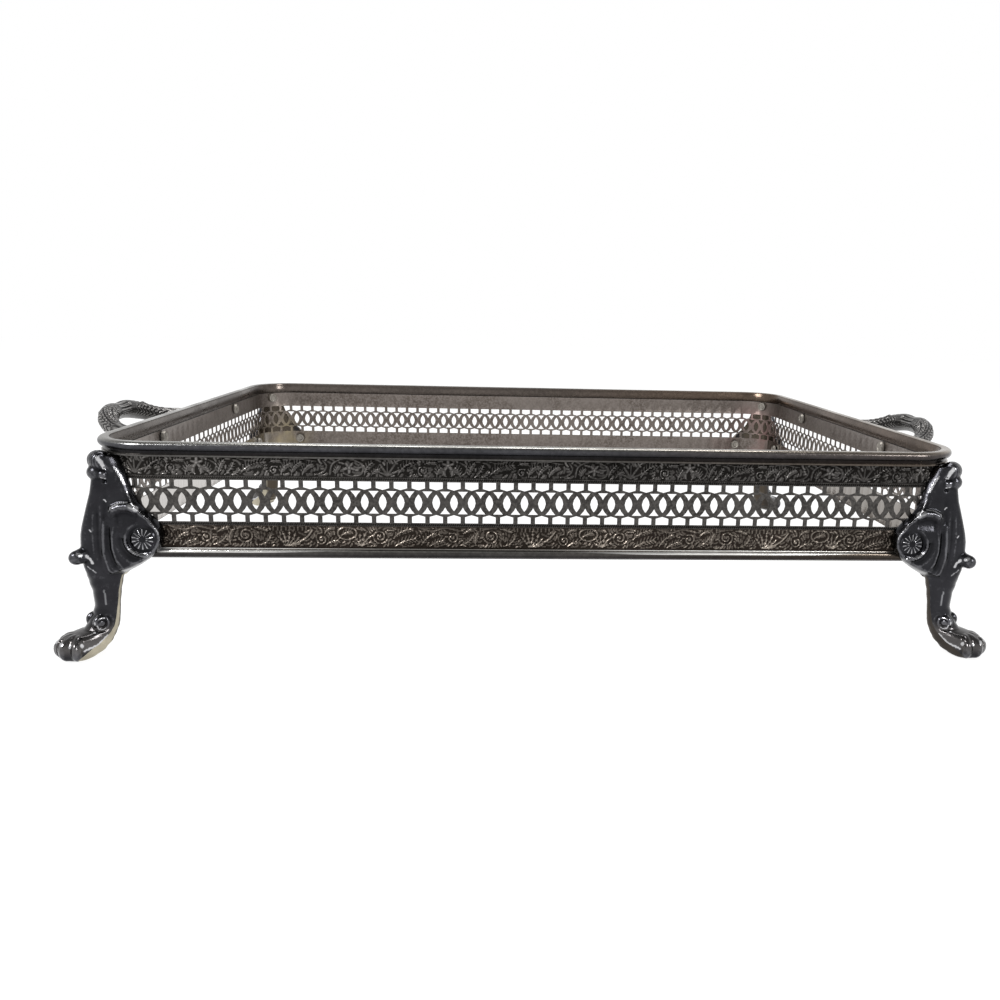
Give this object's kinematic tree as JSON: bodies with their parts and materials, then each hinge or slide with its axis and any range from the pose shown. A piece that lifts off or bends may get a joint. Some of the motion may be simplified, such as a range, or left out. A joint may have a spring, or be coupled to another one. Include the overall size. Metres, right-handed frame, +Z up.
{
  "type": "footed gallery holder",
  "caption": "Open rectangular pierced-gallery holder for a baking dish, on cast paw feet at the corners, with a rolled rim and a leafy handle at each end.",
  "frame": {"origin": "on the table under the middle of the frame", "axes": "+X along the long side towards the right handle, +Z up, front towards -Y"},
  "size_m": [0.4686, 0.3028, 0.0912],
  "materials": {
    "wall": "silver plate over brass, tarnished dark, with chased foliate borders",
    "rim": "silver plate over brass, polished and worn",
    "moulding": "silver plate over brass, polished",
    "foot": "cast, dark silver plate with bare yellow metal at the back of the leg",
    "handle": "cast leafwork, dark silver plate with bright high spots",
    "rivet": "dull silver-grey rivet heads"
  },
  "bodies": {
    "root": {"gallery_front": "wall", "gallery_right": "wall", "gallery_back": "wall", "gallery_left": "wall", "corner_plate_back_right": "wall", "corner_plate_back_left": "wall", "corner_plate_front_left": "wall", "corner_plate_front_right": "wall", "top_rim": "rim", "base_moulding": "moulding", "foot_back_right": "foot", "foot_back_left": "foot", "foot_front_left": "foot", "foot_front_right": "foot", "handle_right": "handle", "handle_left": "handle", "foot_rivet_back_right_corner": "rivet", "foot_rivet_back_right_long_side": "rivet", "foot_rivet_back_right_end": "rivet", "foot_rivet_back_left_corner": "rivet", "foot_rivet_back_left_long_side": "rivet", "foot_rivet_back_left_end": "rivet", "foot_rivet_front_left_corner": "rivet", "foot_rivet_front_left_long_side": "rivet", "foot_rivet_front_left_end": "rivet", "foot_rivet_front_right_corner": "rivet", "foot_rivet_front_right_long_side": "rivet", "foot_rivet_front_right_end": "rivet", "handle_rivet_left_front": "rivet", "handle_rivet_left_back": "rivet", "handle_rivet_right_front": "rivet", "handle_rivet_right_back": "rivet"}
  },
  "joints": []
}
